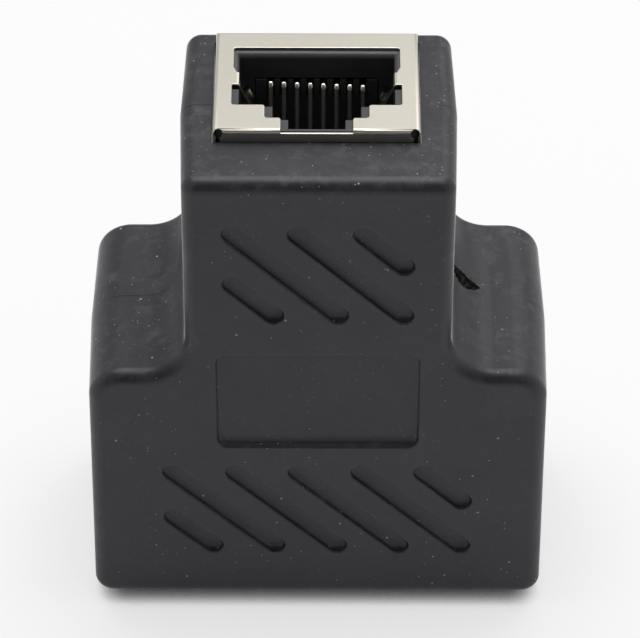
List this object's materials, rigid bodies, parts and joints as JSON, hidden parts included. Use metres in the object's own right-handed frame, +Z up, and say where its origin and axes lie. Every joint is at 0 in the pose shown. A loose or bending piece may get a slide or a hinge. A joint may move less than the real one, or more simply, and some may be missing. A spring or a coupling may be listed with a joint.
{
  "type": "ethernet splitter adapter",
  "caption": "T-shaped moulded Ethernet splitter with a shielded modular jack in its neck and shielded jacks side by side in its base, joined by a circuit board inside.",
  "frame": {"origin": "on the resting plane, under the middle of the part", "axes": "+Z up along the neck, towards the input jack's mouth; +X to the right seen from the front; the front face, with the label recess, towards -Y"},
  "size_m": [0.0366, 0.0188, 0.0458],
  "materials": {
    "moulding": "matte charcoal moulded plastic",
    "shield": "satin nickel plate, slightly warm",
    "housing": "satin black moulded plastic",
    "contact_block": "satin black moulded plastic",
    "contact": "bright gold plate",
    "board": "green solder mask"
  },
  "bodies": {
    "root": {"moulded_body": "moulding", "circuit_board": "board", "input_shield": "shield", "input_housing": "housing", "input_contact_block": "contact_block", "input_contact_1": "contact", "input_contact_2": "contact", "input_contact_3": "contact", "input_contact_4": "contact", "input_contact_5": "contact", "input_contact_6": "contact", "input_contact_7": "contact", "input_contact_8": "contact", "left_output_shield": "shield", "left_output_housing": "housing", "left_output_contact_block": "contact_block", "left_output_contact_1": "contact", "left_output_contact_2": "contact", "left_output_contact_3": "contact", "left_output_contact_4": "contact", "left_output_contact_5": "contact", "left_output_contact_6": "contact", "left_output_contact_7": "contact", "left_output_contact_8": "contact", "right_output_shield": "shield", "right_output_housing": "housing", "right_output_contact_block": "contact_block", "right_output_contact_1": "contact", "right_output_contact_2": "contact", "right_output_contact_3": "contact", "right_output_contact_4": "contact", "right_output_contact_5": "contact", "right_output_contact_6": "contact", "right_output_contact_7": "contact", "right_output_contact_8": "contact"}
  },
  "joints": []
}
